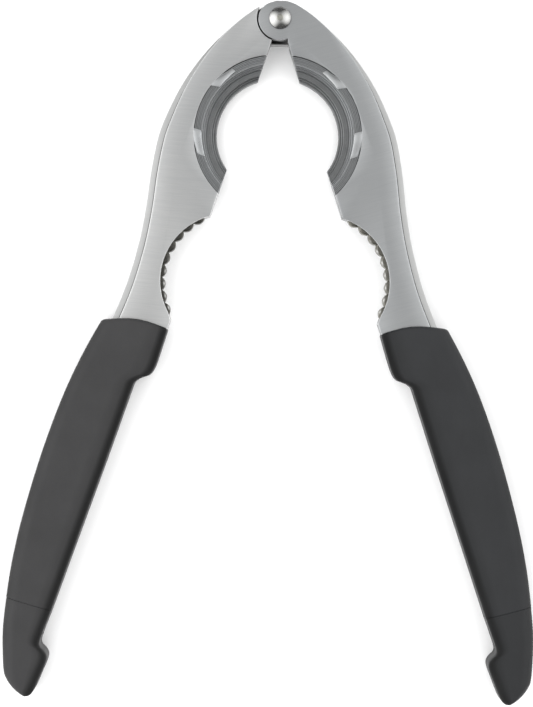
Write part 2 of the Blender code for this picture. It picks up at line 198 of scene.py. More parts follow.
class NUTCRACKER_PG_stage(bpy.types.PropertyGroup):
    """Camera, lights and floor."""

    distance: FloatProperty(name="Camera distance", description="From the front face to the camera",
                            default=0.70, unit="LENGTH")
    lens: FloatProperty(name="Lens", description="Focal length in millimetres", default=133.7)
    roll: FloatProperty(name="Camera roll", description="Turn of the camera on its own axis",
                        default=math.radians(1.1), subtype="ANGLE")
    sky: FloatProperty(name="Room light", description="Strength of the room light", default=1.0)


# ---------------------------------------------------------------- drawing

def smooth(points, per_span=6):
    """Return points along a smooth curve through the given ones."""
    path = []
    last = len(points) - 1
    for index in range(last):
        before = points[max(index - 1, 0)]
        start = points[index]
        end = points[index + 1]
        after = points[min(index + 2, last)]
        for step in range(per_span):
            t = step / per_span
            path.append(tuple(
                0.5 * (2 * b + (c - a) * t + (2 * a - 5 * b + 4 * c - d) * t ** 2
                       + (3 * b - a - 3 * c + d) * t ** 3)
                for a, b, c, d in zip(before, start, end, after)))
    path.append(points[last])
    return path


def arc(centre, radius, start, end, steps):
    """Return points on an arc; angles are degrees from +u towards +v."""
    path = []
    for step in range(steps + 1):
        angle = math.radians(start + (end - start) * step / steps)
        path.append((centre[0] + radius * math.cos(angle),
                     centre[1] + radius * math.sin(angle)))
    return path


def ease(value):
    """Return a smooth step from 0 to 1."""
    t = min(max(value, 0.0), 1.0)
    return t * t * (3.0 - 2.0 * t)


def inset_path(path, widths):
    """Return an open path moved to its inner side by one width per point."""
    moved = []
    last = len(path) - 1
    for index, (u, v) in enumerate(path):
        before = path[max(index - 1, 0)]
        after = path[min(index + 1, last)]
        run = Vector((after[0] - before[0], after[1] - before[1])).normalized()
        moved.append((u - run.y * widths[index], v + run.x * widths[index]))
    return moved


def height_at(path, v):
    """Return the u of a path that runs down the arm, at one v."""
    for (u0, v0), (u1, v1) in zip(path, path[1:]):
        if v0 <= v <= v1:
            return u0 + (u1 - u0) * (v - v0) / max(v1 - v0, 1e-9)
    return path[-1][0]


def arm_space(side):
    """Return the matrix from an arm's own frame in millimetres to the tool."""
    turn = Matrix.Rotation(side * HALF_OPENING, 4, "Z")
    return Matrix.Translation(PIVOT) @ turn @ Matrix.Diagonal((side * MM, -MM, MM, 1.0))


def extrude_chain(bm, chain, places, closed=True):
    """Extrude a chain of vertices to the places and return the new chain and faces."""
    ends = chain[1:] + chain[:1] if closed else chain[1:]
    edges = [bm.edges.get(pair) for pair in zip(chain, ends)]
    grown = bmesh.ops.extrude_edge_only(bm, edges=edges)["geom"]
    fresh = {item for item in grown if isinstance(item, bmesh.types.BMVert)}
    new_chain = []
    for vert, place in zip(chain, places):
        partner = next(edge.other_vert(vert) for edge in vert.link_edges
                       if edge.other_vert(vert) in fresh)
        partner.co = place
        new_chain.append(partner)
    return new_chain, [item for item in grown if isinstance(item, bmesh.types.BMFace)]


def start_ring(bm, places, closed=True):
    """Start a ring or a chain of vertices and edges at the given places."""
    ring = [bm.verts.new(place) for place in places]
    for first, second in zip(ring, ring[1:]):
        bm.edges.new((first, second))
    if closed:
        bm.edges.new((ring[-1], ring[0]))
    return ring


def loft(sections, marks=None):
    """Return a closed solid through equal rings, with an optional mark per place."""
    bm = bmesh.new()
    edge = bm.verts.layers.float.new("edge")
    ring = start_ring(bm, sections[0])
    bm.faces.new(ring)
    for places in sections[1:] + [None]:
        for vert, mark in zip(ring, marks or ()):
            vert[edge] = mark
        if places:
            ring, _ = extrude_chain(bm, ring, places)
    bm.faces.new(ring)
    return bm


def raise_faces(bm, faces, rise):
    """Extrude a region of faces along Z and return its new top faces."""
    grown = bmesh.ops.extrude_face_region(bm, geom=faces)
    tops = [item for item in grown["geom"] if isinstance(item, bmesh.types.BMFace)]
    verts = [item for item in grown["geom"] if isinstance(item, bmesh.types.BMVert)]
    bmesh.ops.translate(bm, verts=verts, vec=(0.0, 0.0, rise))
    return tops


def turn_profile(profile, steps, start=0.0, sweep=360.0):
    """Spin a profile of (radius, height) points about Z."""
    bm = bmesh.new()
    open_ended = profile[0][0] > 1e-6
    turn = Matrix.Rotation(math.radians(start), 4, "Z")
    start_ring(bm, [turn @ Vector((r, 0.0, z)) for r, z in profile], open_ended)
    full = sweep >= 360.0
    bmesh.ops.spin(bm, geom=bm.verts[:] + bm.edges[:], axis=(0.0, 0.0, 1.0),
                   cent=(0.0, 0.0, 0.0), steps=steps, angle=math.radians(sweep),
                   use_merge=full)
    bmesh.ops.remove_doubles(bm, verts=bm.verts, dist=1e-4)
    return bm


def round_rims(bm, width, segments, wanted, sharp=35.0):
    """Bevel the wanted convex sharp edges and return the new faces."""
    limit = math.radians(sharp)
    rims = [edge for edge in bm.edges
            if len(edge.link_faces) == 2 and edge.calc_face_angle_signed() > limit
            and wanted((edge.verts[0].co + edge.verts[1].co) / 2)]
    result = bmesh.ops.bevel(bm, geom=rims, offset=width, segments=segments, profile=0.5,
                             affect="EDGES", clamp_overlap=False, material=-1)
    return result["faces"]


def finish_piece(name, bm, space, materials, body, nodes=()):
    """Turn a bmesh into a piece of the tool that rides with a body."""
    bmesh.ops.transform(bm, matrix=space, verts=bm.verts)
    bmesh.ops.recalc_face_normals(bm, faces=bm.faces)
    for face in bm.faces:
        face.smooth = len(face.verts) < FLAT_CORNERS
    mesh = bpy.data.meshes.new(name)
    bm.to_mesh(mesh)
    bm.free()
    mesh.set_sharp_from_angle(angle=math.radians(32.0))
    for material in materials:
        mesh.materials.append(material)
    piece = bpy.data.objects.new(name, mesh)
    bpy.context.scene.collection.objects.link(piece)
    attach(piece, body)
    if nodes:
        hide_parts(*nodes)


# ---------------------------------------------------------------- materials

class Tree:
    """A small helper that adds and joins the nodes of one tree."""

    def __init__(self, tree):
        self.nodes = tree.nodes
        self.links = tree.links

    def add(self, kind, inputs=None, **settings):
        """Add a node with its settings and its inputs, which are values or sockets."""
        node = self.nodes.new("ShaderNode" + kind)
        for name, value in settings.items():
            setattr(node, name, value)
        for name, value in (inputs or {}).items():
            if isinstance(value, bpy.types.NodeSocket):
                self.links.new(value, node.inputs[name])
            else:
                node.inputs[name].default_value = value
        return node

    def math(self, operation, *values):
        """Return values joined by one sum."""
        return self.add("Math", dict(enumerate(values)), operation=operation).outputs["Value"]

    def split(self, vector):
        """Return the three parts of a vector."""
        return self.add("SeparateXYZ", {"Vector": vector}).outputs


class Recipe(Tree):
    """The nodes of one material."""

    def __init__(self, name, colour, metallic, roughness):
        self.material = bpy.data.materials.new(name)
        self.material.use_nodes = True
        super().__init__(self.material.node_tree)
        self.shader = self.nodes["Principled BSDF"].inputs
        self.shader["Base Color"].default_value = (*colour, 1.0)
        self.shader["Metallic"].default_value = metallic
        self.shader["Roughness"].default_value = roughness
        self.place = self.add("TexCoord").outputs["Object"]
        self.normal = None

    def spread(self, scale, turn=0.0):
        """Return Object coordinates turned about Z and scaled."""
        return self.add("Mapping", {"Vector": self.place, "Rotation": (0.0, 0.0, turn),
                                    "Scale": tuple(1.0 / size for size in scale)},
                        vector_type="TEXTURE").outputs["Vector"]

    def noise(self, vector, scale, detail=3.0, rough=0.55):
        """Return the value of a noise texture."""
        return self.add("TexNoise", {"Vector": vector, "Scale": scale, "Detail": detail,
                                     "Roughness": rough}).outputs["Fac"]

    def distance(self, centre):
        """Return the distance from the upright axis through a place."""
        flat = self.add("VectorMath", {0: self.place, 1: (1.0, 1.0, 0.0)}, operation="MULTIPLY")
        return self.add("VectorMath", {0: flat.outputs["Vector"], 1: (centre[0], centre[1], 0.0)},
                        operation="DISTANCE").outputs["Value"]

    def rings(self, centre, pitch):
        """Return fine circles around the upright axis through a place."""
        return self.add("TexNoise", {"W": self.distance(centre), "Scale": 1.0 / pitch,
                                     "Detail": 2.0}, noise_dimensions="1D").outputs["Fac"]

    def mark(self, name):
        """Return the value of one of the mesh's own attributes."""
        return self.add("Attribute", attribute_name=name).outputs["Fac"]

    def remap(self, value, low, high, source_low=0.3, source_high=0.7):
        """Return a value stretched to a new range."""
        return self.add("MapRange", {"Value": value, "From Min": source_low,
                                     "From Max": source_high, "To Min": low,
                                     "To Max": high}).outputs["Result"]

    def tint(self, value, first, second):
        """Mix two colours by a value into the base colour; the first may be a socket."""
        if isinstance(first, tuple):
            first = (*first, 1.0)
        mixed = self.add("Mix", {"Factor": value, "A": first, "B": (*second, 1.0)},
                         data_type="RGBA").outputs["Result"]
        self.links.new(mixed, self.shader["Base Color"])
        return mixed

    def roughen(self, value):
        """Drive the roughness."""
        self.links.new(value, self.shader["Roughness"])

    def bump(self, value, strength, distance):
        """Add a height on top of the bumps already there."""
        inputs = {"Height": value, "Strength": strength, "Distance": distance}
        if self.normal is not None:
            inputs["Normal"] = self.normal
        self.normal = self.add("Bump", inputs).outputs["Normal"]
        self.links.new(self.normal, self.shader["Normal"])


def shade(colour, factor, warm=0.0):
    """Return a colour made lighter or darker, and warmer if asked."""
    return (colour[0] * factor * (1.0 + warm), colour[1] * factor,
            colour[2] * factor * (1.0 - warm))


def brushed_metal(name, colour, roughness, turn, jaw=None):
    """Return satin metal brushed across the arm and a little darker beside the jaw."""
    recipe = Recipe(name, colour, 1.0, roughness)
    fine = recipe.noise(recipe.spread((150.0, 5200.0, 900.0), turn), 1.0, 4.0, 0.6)
    broad = recipe.noise(recipe.spread((70.0, 1300.0, 300.0), turn), 1.0, 4.0, 0.55)
    cloud = recipe.noise(recipe.place, 48.0, 3.0, 0.5)
    lines = recipe.math("ADD", recipe.remap(fine, 0.0, 0.45), recipe.remap(broad, 0.0, 0.3))
    mixed = recipe.math("ADD", lines, recipe.remap(cloud, 0.0, 0.25))
    dark = shade(colour, 0.91, 0.012)
    light = shade(colour, 1.07, -0.012)
    if jaw is not None:
        centre, reach, fade = jaw
        near = recipe.remap(recipe.distance(centre), fade, 0.0, reach, reach + JAW_FADE * MM)
        mixed = recipe.math("SUBTRACT", recipe.remap(mixed, 0.45, 1.0, 0.0, 1.0), near)
        dark = shade(colour, 0.78, -0.012)
        light = shade(colour, 1.07, 0.006)
    recipe.tint(mixed, dark, light)
    recipe.roughen(recipe.remap(lines, roughness + 0.07, roughness - 0.05, 0.0, 0.75))
    recipe.bump(fine, 0.10, 0.00003)
    recipe.bump(broad, 0.05, 0.00004)
    return recipe.material


def cast_metal(name, colour, roughness):
    """Return metal left as cast or turned, with a fine grain."""
    recipe = Recipe(name, colour, 1.0, roughness)
    fine = recipe.noise(recipe.place, 2600.0, 4.0, 0.6)
    cloud = recipe.noise(recipe.place, 260.0, 3.0, 0.5)
    mixed = recipe.math("ADD", recipe.remap(fine, 0.0, 0.5), recipe.remap(cloud, 0.0, 0.5))
    recipe.tint(mixed, shade(colour, 0.72, 0.02), shade(colour, 1.2))
    recipe.roughen(recipe.remap(mixed, roughness + 0.12, roughness - 0.08, 0.0, 1.0))
    recipe.bump(fine, 0.25, 0.00006)
    return recipe.material


def glinting_metal(name, colour, roughness):
    """Return bare cast metal whose marked crests get a painted glint of light metal."""
    recipe = Recipe(name, colour, 1.0, roughness)
    grain = recipe.noise(recipe.place, 1500.0, 4.0, 0.6)
    # The marked crests mix towards light metal, a painted glint
    painted_glint = recipe.math("MULTIPLY", recipe.mark("crest_glint"), recipe.remap(grain, 0.75, 1.0))
    mixed = recipe.math("ADD", painted_glint, recipe.remap(grain, 0.0, 0.06))
    recipe.tint(mixed, colour, (0.86, 0.86, 0.84))
    recipe.roughen(recipe.remap(grain, roughness + 0.08, roughness - 0.06))
    recipe.bump(grain, 0.2, 0.00005)
    return recipe.material


def turned_metal(name, colour, roughness, centre):
    """Return metal turned around a jaw's axis, with painted shade that darkens it down the funnel.
    """
    recipe = Recipe(name, colour, 1.0, roughness)
    fine = recipe.noise(recipe.spread((2600.0, 2600.0, 5200.0)), 1.0, 4.0, 0.6)
    cloud = recipe.noise(recipe.place, 300.0, 3.0, 0.5)
    turned = recipe.rings(centre, 0.42 * MM)
    # Painted shade: the deeper down the funnel, the darker the metal
    depth = recipe.remap(recipe.split(recipe.place)["Z"], 0.0, 0.55, 4.5 * MM, 10.2 * MM)
    grain = recipe.math("ADD", recipe.remap(fine, 0.0, 0.15), recipe.remap(cloud, 0.0, 0.12))
    grain = recipe.math("ADD", grain, recipe.remap(turned, 0.0, 0.3))
    mixed = recipe.math("ADD", depth, grain)
    recipe.tint(mixed, shade(colour, 0.36, 0.015), shade(colour, 1.16, -0.01))
    recipe.roughen(recipe.remap(cloud, roughness + 0.1, roughness - 0.06))
    recipe.bump(fine, 0.22, 0.00005)
    recipe.bump(turned, 0.3, 0.00006)
    return recipe.material


def polished_metal(name, colour, roughness):
    """Return bright metal with hairline marks from handling."""
    recipe = Recipe(name, colour, 1.0, roughness)
    marks = recipe.noise(recipe.spread((900.0, 5200.0, 900.0), 0.6), 1.0, 3.0, 0.6)
    cloud = recipe.noise(recipe.place, 900.0, 2.0, 0.5)
    recipe.tint(marks, shade(colour, 0.95), shade(colour, 1.03))
    recipe.roughen(recipe.remap(cloud, roughness - 0.03, roughness + 0.06))
    recipe.bump(marks, 0.05, 0.00003)
    return recipe.material


def soft_plastic(name, colour, roughness):
    """Return soft-touch plastic with a fine moulded grain, light rubbing and painted shade on its
    marked edges.
    """
    recipe = Recipe(name, colour, 0.0, roughness)
    recipe.shader["Specular IOR Level"].default_value = 0.42
    grain = recipe.noise(recipe.place, 5200.0, 3.0, 0.6)
    cloud = recipe.noise(recipe.place, 90.0, 4.0, 0.55)
    rub = recipe.noise(recipe.spread((240.0, 60.0, 240.0), 0.1), 1.0, 4.0, 0.6)
    mixed = recipe.math("ADD", recipe.remap(cloud, 0.0, 0.6), recipe.remap(grain, 0.0, 0.4))
    mixed = recipe.tint(mixed, shade(colour, 0.86, 0.01), shade(colour, 1.14, 0.01))
    # The edge mark paints shade on the grip's rounded edges and makes them rougher
    mark = recipe.mark("edge")
    recipe.tint(mark, mixed, shade(colour, 0.12))
    matt = recipe.remap(mark, 0.0, 0.2, 0.0, 1.0)
    recipe.roughen(recipe.math("ADD", recipe.remap(rub, roughness + 0.08, roughness - 0.07), matt))
    recipe.bump(grain, 0.22, 0.00005)
    recipe.bump(cloud, 0.06, 0.0002)
    return recipe.material


# ---------------------------------------------------------------- arms

def arm_regions(side, metal):
    """Return an arm's outer and face edges, where its body starts, its shoulder and its eye."""
    back = smooth(ARM_BACK)
    full = metal.band / MM
    face_edge = inset_path(back, [0.22 + (full - 0.22) * ease(v / 40.0) for _, v in back])
    shoulder = FRONT_SHOULDER if side == LEFT else REAR_SHOULDER
    split = next(index for index, (u, v) in enumerate(face_edge)
                 if math.hypot(u, v) > shoulder and u > 0.0)
    if side == LEFT:
        eye = [(FLAT_U, 7.05), (-3.85, 5.7)] + arc((0.0, 0.0), REAR_EYE, 127.0, 206.0, 20)
        crown = ((-6.5, -3.6), (-4.8, -4.35), (-2.4, -4.75))
    else:
        eye = [(FLAT_U, 6.6)] + arc((0.0, 0.0), FRONT_EYE, 86.0, 188.0, 30)
        crown = ((-5.62, -1.45), (-4.6, -3.3), (-2.4, -4.6))
    eye += smooth((*crown, face_edge[0]))[:-1] + face_edge[:split]
    return back, face_edge, split, shoulder, eye


def inner_edge():
    """Return the inner outline of an arm from its grip end up to the head."""
    reach = math.degrees(math.acos((FLAT_U - CRACKER[0]) / CRACKER_EDGE))
    path = [(1.2, 91.5), (0.9, 88.0), (0.9, 85.6)]
    path += arc(CRACKER, CRACKER_EDGE, 46.8, -reach, 56)
    rise = math.degrees(math.acos((FLAT_U - JAW[0]) / RECESS))
    path += arc(JAW, RECESS, rise, -rise, 72)
    return path


def build_arm(side, metal):
    """Build one arm: crowned faces, lapped head, edge band and rounded rims."""
    back, face_edge, split, shoulder, eye = arm_regions(side, metal)
    start_z = -ARM_HALF if side == LEFT else ARM_HALF
    up = 1.0 if side == LEFT else -1.0

    bm = bmesh.new()
    eye_key = bm.faces.layers.int.new("eye")
    outer = face_edge[split:]
    tip = math.degrees(math.atan2(outer[0][1], outer[0][0]))
    drops = {}
    rows = []
    for depth in FACE_ROWS:
        reach = [depth * (0.12 + 0.88 * ease((v - 2.0) / 22.0)) for _, v in outer]
        row = inset_path(outer, reach)
        turn = tip + math.degrees(reach[0] / shoulder)
        row[0] = arc((0.0, 0.0), shoulder, turn, turn, 1)[0]
        for (u, v), (_, low) in zip(row, outer):
            fall = metal.crown / MM * CROWN_SHARE[side]
            fall *= (1.0 - depth / FACE_ROWS[0]) ** 2 * ease((low - 1.0) / 20.0)
            drops[spot(u, v)] = fall
        rows.append(row)
    foot = math.degrees(math.acos(FLAT_U / shoulder))
    step = arc((0.0, 0.0), shoulder, foot,
               math.degrees(math.atan2(rows[0][0][1], rows[0][0][0])), 26)[:-1]
    places = [(u, v, start_z) for u, v in rows[0] + inner_edge() + step]
    ring = start_ring(bm, places)
    body = [bm.faces.new(ring)]
    chain = ring[:len(outer)]
    spoke = [chain[0]]
    for row in rows[1:]:
        chain, fresh = extrude_chain(bm, chain, [(u, v, start_z) for u, v in row], False)
        body += fresh
        spoke.append(chain[0])
    # The eye shares the shoulder arc and the short spoke at its outer end.
    joint = ring[-len(step):] + spoke
    eye_verts = [bm.verts.new((u, v, start_z)) for u, v in eye]
    eye_face = bm.faces.new(eye_verts + joint[::-1])
    eye_face[eye_key] = 1

    # The eye stops at the gap between the heads, two levels up.
    levels = [start_z, up * -CORE_HALF, up * -LAP_HALF, up * CORE_HALF, up * ARM_HALF]
    tops = body + [eye_face]
    for number, (low, high) in enumerate(zip(levels, levels[1:])):
        if number == 2:
            tops = [face for face in tops if not face[eye_key]]
        tops = raise_faces(bm, tops, high - low)

    for vert in bm.verts:
        if abs(abs(vert.co.z) - ARM_HALF) < 0.01:
            vert.co.z -= math.copysign(drops.get(spot(vert.co.x, vert.co.y), 0.0), vert.co.z)
    grow_band(bm, back, face_edge, split)
    bmesh.ops.recalc_face_normals(bm, faces=bm.faces)
    soft = metal.edge / MM
    rims = set(round_rims(bm, soft, 3, lambda place: not on_inner_rim(place)))
    rims |= set(round_rims(bm, 0.5 * soft, 2, on_inner_rim, 60.0))
    for face in bm.faces:
        middle = face.calc_center_median()
        steep = abs(face.normal.z) < 0.3
        shelf = abs(abs(middle.z) - CORE_HALF) < 0.4 and abs(face.normal.z) > 0.3
        # Rim faces take the lighter rim metal, a painted highlight along the rims
        if face.material_index != SHADED_CREVICE or face in rims:
            face.material_index = BAND if shelf else RIM if face in rims else SATIN
        # Shoulder walls and the lap take the crevice metal, painted shade where the heads meet
        on_shoulder = abs(middle.xy.length - shoulder) < 0.06 and steep
        on_lap = abs(abs(middle.z) - LAP_HALF) < 0.02 and abs(face.normal.z) > 0.9
        if on_shoulder or on_lap:
            face.material_index = SHADED_CREVICE
        elif face.material_index == SATIN and steep:
            face.material_index = WALL
    return bm


def on_inner_rim(place):
    """Tell whether a place lies on the flats or on the edge of the ring's recess."""
    on_flat = abs(place.x - FLAT_U) < 0.05
    reach = math.hypot(place.x - JAW[0], place.y - JAW[1])
    return on_flat or abs(reach - RECESS) < 0.08


def spot(u, v):
    """Return a place as a key that survives single precision."""
    return round(u, 2), round(v, 2)


def grow_band(bm, back, face_edge, split):
    """Extrude the middle of the outer wall past a groove out to the arm's full outline."""
    first = split + 2
    edge_index = {spot(u, v): index for index, (u, v) in enumerate(face_edge)}
    wall = []
    for face in bm.faces:
        if abs(face.calc_center_median().z) > CORE_HALF or len(face.verts) != 4:
            continue
        picks = [edge_index.get(spot(vert.co.x, vert.co.y), -1) for vert in face.verts]
        if min(picks) >= first:
            wall.append(face)
    homes = {}
    for share, sink, groove in ((0.16, 0.0, True), (1.0, 0.3, False)):
        roots = {vert for face in wall for vert in face.verts}
        old_homes = homes or {vert: edge_index[spot(vert.co.x, vert.co.y)] for vert in roots}
        by_place = {tuple(vert.co): index for vert, index in old_homes.items()}
        grown = bmesh.ops.extrude_face_region(bm, geom=wall)["geom"]
        wall = [item for item in grown if isinstance(item, bmesh.types.BMFace)]
        homes = {}
        for vert in (item for item in grown if isinstance(item, bmesh.types.BMVert)):
            index = by_place[tuple(vert.co)]
            homes[vert] = index
            start = face_edge[index]
            end = back[index]
            vert.co.x = start[0] + (end[0] - start[0]) * share
            vert.co.y = start[1] + (end[1] - start[1]) * share
            if abs(vert.co.z) > CORE_HALF - 0.01:
                vert.co.z -= math.copysign(sink, vert.co.z)
        # The groove's faces take the crevice metal, painted shade in the groove
        if groove:
            for vert in homes:
                for face in vert.link_faces:
                    if abs(face.calc_center_median().z) > CORE_HALF - 0.05:
                        face.material_index = SHADED_CREVICE


class NUTCRACKER_OT_arms(bpy.types.Operator):
    """Model both arms with their lapped heads and edge bands"""

    bl_idname = "nutcracker.arms"
    bl_label = "Arms"

    def execute(self, context):
        metal = context.scene.nutcracker_metal
        for side in (LEFT, RIGHT):
            word = SIDE_NAME[side]
            # The side's colour factor paints light and shade on the arm metal: the left arm
            # lighter, the right darker
            lit_tone = shade(metal.arm_colour, *ARM_LIT_TONE[side])
            jaw = arm_space(side) @ Vector((*JAW, 0.0))
            face = brushed_metal(word + "_arm_satin", lit_tone, 0.34, math.radians(BRUSH_TURN[side]),
                                 (jaw, RECESS * MM, JAW_SHADE[side]))
            wall = cast_metal(word + "_arm_wall", shade(lit_tone, 0.62), 0.4)
            # The rim metal is the arm's metal made lighter, a painted highlight along the rims, and
            # polished
            rim = polished_metal(word + "_arm_rim_highlight", shade(lit_tone, 1.15), 0.3)
            # The crevice metal is the arm's metal darkened, painted shade
            crevice_shade = cast_metal(word + "_arm_crevice_shade", shade(lit_tone, 0.42), 0.5)
            shelf = polished_metal(word + "_arm_band", (0.60, 0.605, 0.60), 0.36)
            bm = build_arm(side, metal)
            finish_piece(word + "_arm_body", bm, arm_space(side), (face, rim, crevice_shade, shelf, wall),
                         word + "_lever", (word + "_arm",))
        return {"FINISHED"}


# ---------------------------------------------------------------- jaws

def ring_profile(ribs):
    """Return the section of a stepped ring jaw as (radius, height) points."""
    outer = RECESS + 0.05
    first = outer - 0.26
    back = -ARM_HALF
    r = 19.35
    z = 3.75
    profile = [(outer, back + 0.35), (outer, z - 0.9), (outer - 0.24, z - 0.85)]
    lands = 5
    land = (first - r) / lands
    for number in range(lands):
        edge = first - land * number
        profile += [(edge, z), (edge - land * 0.7, z - 0.01), (edge - land * 0.85, z - 0.16)]
    profile += [(r + 0.06, z - 0.02), (r - 0.04, z)]
    funnel = 19.0 - JAW_BORE
    drop = 5.1
    wide = ribs // 2
    for number in range(ribs):
        share = WIDE_TREAD if number == wide else (1.0 - WIDE_TREAD) / (ribs - 1)
        tread = funnel * share
        fall = drop * share
        profile += [(r - 0.10, z - 0.1), (r - 0.14, z - fall * 0.9), (r - 0.2, z - fall),
                    (r - tread * 0.5, z - fall + 0.02), (r - tread + 0.05, z - fall + 0.03)]
        r -= tread
        z -= fall
    profile += [(JAW_BORE + 0.1, z - 0.05), (JAW_BORE, z - 0.25), (JAW_BORE, back + 0.6),
                (JAW_BORE + 0.35, back + 0.22), (JAW_BORE + 2.4, back + 0.22),
                (JAW_BORE + 2.55, back + 0.35)]
    return profile


def build_ring(metal):
    """Build one stepped half-ring in its arm's frame."""
    bm = turn_profile(ring_profile(metal.ribs), 110, -70.0, 140.0)
    bmesh.ops.translate(bm, verts=bm.verts, vec=(*JAW, 0.0))
    flat = FLAT_U + 0.02
    cut = bmesh.ops.bisect_plane(bm, geom=bm.verts[:] + bm.edges[:] + bm.faces[:],
                                 plane_co=(flat, 0.0, 0.0), plane_no=(-1.0, 0.0, 0.0),
                                 clear_outer=True)
    rims = [item for item in cut["geom_cut"] if isinstance(item, bmesh.types.BMEdge)]
    bmesh.ops.holes_fill(bm, edges=rims, sides=0)
    bmesh.ops.recalc_face_normals(bm, faces=bm.faces)
    return bm


def build_lug(near, far, bore):
    """Build one ramped lug that crosses the ring's outer land on a slant."""
    sections = []
    steps = 16
    low = 2.6
    corner = 0.16
    for number in range(steps + 1):
        t = number / steps
        sink = 0.03 + 0.66 * ease((t - 0.2) / 0.8)
        top = ARM_HALF - sink
        trim = 0.1 if number in (0, steps) else 0.0
        inner = bore[0] + (bore[1] - bore[0]) * t + trim
        outer = RECESS + 0.25 - 0.62 * ease((t - 0.3) / 0.7) - trim
        outline = ((inner, low), (inner, top - corner), (inner + corner * 0.3, top - corner * 0.3),
                   (inner + corner, top - trim), (outer - corner, top - trim),
                   (outer - corner * 0.3, top - corner * 0.3), (outer, top - corner), (outer, low))
        section = []
        for r, z in outline:
            across = (RECESS - r) / LUG_REACH
            start = near[0] + (near[1] - near[0]) * across
            end = far[0] + (far[1] - far[0]) * across
            angle = math.radians(start + (end - start) * t)
            section.append((JAW[0] + r * math.cos(angle), JAW[1] + r * math.sin(angle), z))
        sections.append(section)
    return loft(sections)


def build_teeth(metal, first_glinting):
    """Build the toothed strip of one serrated jaw, with the crests that get a painted glint marked.
    """
    outline = arc(CRACKER, CRACKER_EDGE + 2.2, 49.0, -51.0, 40)
    per_tooth = 12
    total = TOOTH_COUNT * per_tooth
    depth = metal.tooth_depth / MM
    for step in range(total + 1):
        phase = step / per_tooth
        lift = math.sin(math.pi * (phase % 1.0)) ** 0.8
        radius = TOOTH_TIP + depth * (1.0 - lift)
        angle = math.radians(TOOTH_FIRST + TOOTH_PITCH * (phase - 0.5))
        outline.append((TOOTH_CENTRE[0] + radius * math.cos(angle),
                        TOOTH_CENTRE[1] + radius * math.sin(angle)))
    bm = bmesh.new()
    crest_glint = bm.verts.layers.float.new("crest_glint")
    face = bm.faces.new(start_ring(bm, [(u, v, -2.5) for u, v in outline]))
    raise_faces(bm, [face], 5.0)
    bmesh.ops.recalc_face_normals(bm, faces=bm.faces)
    rims = [edge for edge in bm.edges if edge.calc_face_angle_signed() > math.radians(60.0)
            and abs(edge.verts[0].co.z - edge.verts[1].co.z) < 0.01]
    bmesh.ops.bevel(bm, geom=rims, offset=0.7, segments=6, profile=0.5, affect="EDGES",
                    clamp_overlap=False, material=-1)
    for vert in bm.verts:
        reach = math.hypot(vert.co.x - TOOTH_CENTRE[0], vert.co.y - TOOTH_CENTRE[1])
        around = math.degrees(math.atan2(vert.co.y - TOOTH_CENTRE[1],
                                         vert.co.x - TOOTH_CENTRE[0]))
        phase = (around - TOOTH_FIRST) / TOOTH_PITCH + 0.5
        crest = ease(1.0 - abs(phase % 1.0 - 0.5) / 0.3)
        lens = ease(1.0 - abs(reach - TOOTH_TIP - 0.34) / 0.3)
        # The mark is a painted glint on the crest of each tooth from the first glinting one on
        vert[crest_glint] = crest * lens * ease((phase - first_glinting) / 2.0)
    return bm


class NUTCRACKER_OT_jaws(bpy.types.Operator):
    """Model the stepped ring jaws, their lugs and the serrated jaws"""

    bl_idname = "nutcracker.jaws"
    bl_label = "Jaws"

    def execute(self, context):
        metal = context.scene.nutcracker_metal
        for side in (LEFT, RIGHT):
            word = SIDE_NAME[side]
            jaw = arm_space(side) @ Vector((*JAW, 0.0))
            ring_metal = turned_metal(word + "_turned_ring", metal.ring_colour, 0.36, jaw)
            lug_metal = brushed_metal(word + "_lug_satin", shade(metal.arm_colour, 0.98, -0.01),
                                      0.3, math.radians(-40.0 * side))
            # The side's colour factor for the teeth paints light and shade: the right teeth
            # lighter, the left darker
            tooth_metal = glinting_metal(word + "_bare_teeth",
                                     shade(metal.tooth_colour, TOOTH_LIT_TONE[side]), 0.36)
            teeth = build_teeth(metal, FIRST_GLINTING_TOOTH[side])
            finish_piece(word + "_ring", build_ring(metal), arm_space(side), (ring_metal,),
                         word + "_lever", (word + "_ring_jaw",))
            finish_piece(word + "_teeth", teeth, arm_space(side), (tooth_metal,),
                         word + "_lever", (word + "_serrated_jaw",))
            for place, (near, far), bore in zip(("upper", "lower"), LUG_ANGLES, LUG_BORES):
                finish_piece(f"{word}_{place}_lug", build_lug(near, far, bore), arm_space(side),
                             (lug_metal,), word + "_lever")
        return {"FINISHED"}


# ---------------------------------------------------------------- pivot

def rivet_profile():
    """Return the rivet's section from the dome's centre to the rear head's."""
    seat = ARM_HALF + 0.03
    rim = seat + 0.3
    top = rim + 1.35
    profile = [(0.0, top - 0.1), (0.45, top - 0.1), (0.62, top - 0.08), (0.74, top - 0.13),
               (0.86, top - 0.06)]
    rim_tilt = math.radians(42.0)
    ball = (RIVET_RADIUS - 0.15) / math.sin(rim_tilt)
    for step in range(4, 15):
        tilt = rim_tilt * step / 14
        profile.append((ball * math.sin(tilt), top - ball * (1.0 - math.cos(tilt))))
    profile += [(RIVET_RADIUS - 0.04, seat + 0.46), (RIVET_RADIUS, rim)]
    bottom = -PIVOT.z / MM
    profile += [(RIVET_RADIUS, seat), (2.0, seat), (2.0, bottom + 0.95), (3.0, bottom + 0.95),
                (3.2, bottom + 0.75), (3.2, bottom + 0.45), (3.0, bottom + 0.15),
                (2.6, bottom), (1.2, bottom), (0.9, bottom + 0.2), (0.0, bottom + 0.25)]
    return profile


